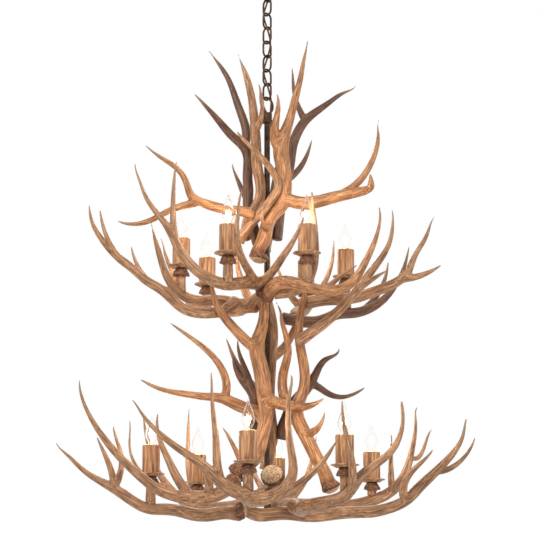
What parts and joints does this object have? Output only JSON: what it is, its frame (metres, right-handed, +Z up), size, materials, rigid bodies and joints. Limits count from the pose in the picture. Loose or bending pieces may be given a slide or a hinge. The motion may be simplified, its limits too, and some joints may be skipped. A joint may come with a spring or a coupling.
{
  "type": "antler chandelier",
  "caption": "Two-tier chandelier of interlocked shed antlers with candle lights, hung from a ceiling canopy on a link chain with a woven cord.",
  "frame": {"origin": "middle of the ceiling face of the canopy and crossbar, on the axis of the chain", "axes": "+Z up, +X to the right and +Y away from the viewer as in the picture"},
  "size_m": [1.1113, 0.7816, 1.5675],
  "materials": {
    "antler": "shed antler, ridged, half matte, tan to golden brown",
    "dark_antler": "darker shed antler, ridged, half matte",
    "bronze": "dark oil-rubbed bronze",
    "zinc_steel": "zinc plated",
    "cord": "brown lamp cord",
    "black_plastic": "black nylon",
    "saucer": "antiqued brown bobeche",
    "socket": "candelabra socket, phenolic and card",
    "sleeve": "candle sleeve cast like antler",
    "brass_cap": "screw cap",
    "clear_glass": "clear flame-tip bulb"
  },
  "bodies": {
    "ceiling_mount": {"ceiling_crossbar": "zinc_steel", "canopy_nipple": "zinc_steel", "nipple_nuts": "zinc_steel", "ceiling_canopy": "bronze", "canopy_loop": "bronze", "cord_bushing": "black_plastic", "cord_ceiling_end": "cord"},
    "top_link": {"chain_link_top": "bronze"},
    "chain": {"chain_links": "bronze", "supply_cord": "cord"},
    "bottom_link": {"chain_link_bottom": "bronze"},
    "fixture": {"bulb_bases": "brass_cap", "bulb_glass": "clear_glass", "candle_nipples": "zinc_steel", "candle_nuts": "zinc_steel", "candle_posts": "antler", "candle_saucers": "saucer", "candle_sleeves": "sleeve", "candle_sockets": "socket", "column_core_antler": "antler", "column_dark_left_antler": "dark_antler", "column_front_antler": "antler", "column_left_antler": "antler", "column_right_antler": "antler", "column_right_dark_antler": "dark_antler", "cord_fixture_end": "cord", "crown_back_antler": "antler", "crown_dark_left_antler": "dark_antler", "crown_dark_right_antler": "dark_antler", "crown_fork_antler": "antler", "crown_front_antler": "antler", "crown_left_antler": "antler", "crown_tall_antler": "antler", "fixture_loop": "bronze", "joint_pins": "zinc_steel", "lower_back_antler": "antler", "lower_back_left_antler": "antler", "lower_back_right_antler": "antler", "lower_bottom_antler": "antler", "lower_burr_antler": "antler", "lower_front_antler": "antler", "lower_left_antler": "antler", "lower_left_outer_antler": "antler", "lower_right_antler": "antler", "stem_nut": "bronze", "stem_tube": "zinc_steel", "upper_back_antler": "antler", "upper_back_left_antler": "antler", "upper_back_right_antler": "antler", "upper_burr_antler": "antler", "upper_diagonal_antler": "antler", "upper_front_antler": "antler", "upper_left_antler": "antler", "upper_left_low_antler": "antler", "upper_right_antler": "antler", "upper_right_dark_antler": "dark_antler", "upper_spike_antler": "antler"}
  },
  "joints": [
    {"name": "top_link_swing", "type": "hinge", "parent": "ceiling_mount", "child": "top_link", "pos_m": [0, 0, -0.0726], "axis": [0.7071, -0.7071, 0], "range_deg": [-15, 15]},
    {"name": "chain_swing", "type": "hinge", "parent": "top_link", "child": "chain", "pos_m": [0, 0, -0.1134], "axis": [0.7071, 0.7071, 0], "range_deg": [-15, 15]},
    {"name": "bottom_link_swing", "type": "hinge", "parent": "chain", "child": "bottom_link", "pos_m": [0, 0, -0.3606], "axis": [0.7071, 0.7071, 0], "range_deg": [-10, 10]},
    {"name": "fixture_swing", "type": "hinge", "parent": "bottom_link", "child": "fixture", "pos_m": [0, 0, -0.4018], "axis": [0.7071, -0.7071, 0], "range_deg": [-10, 10]}
  ]
}
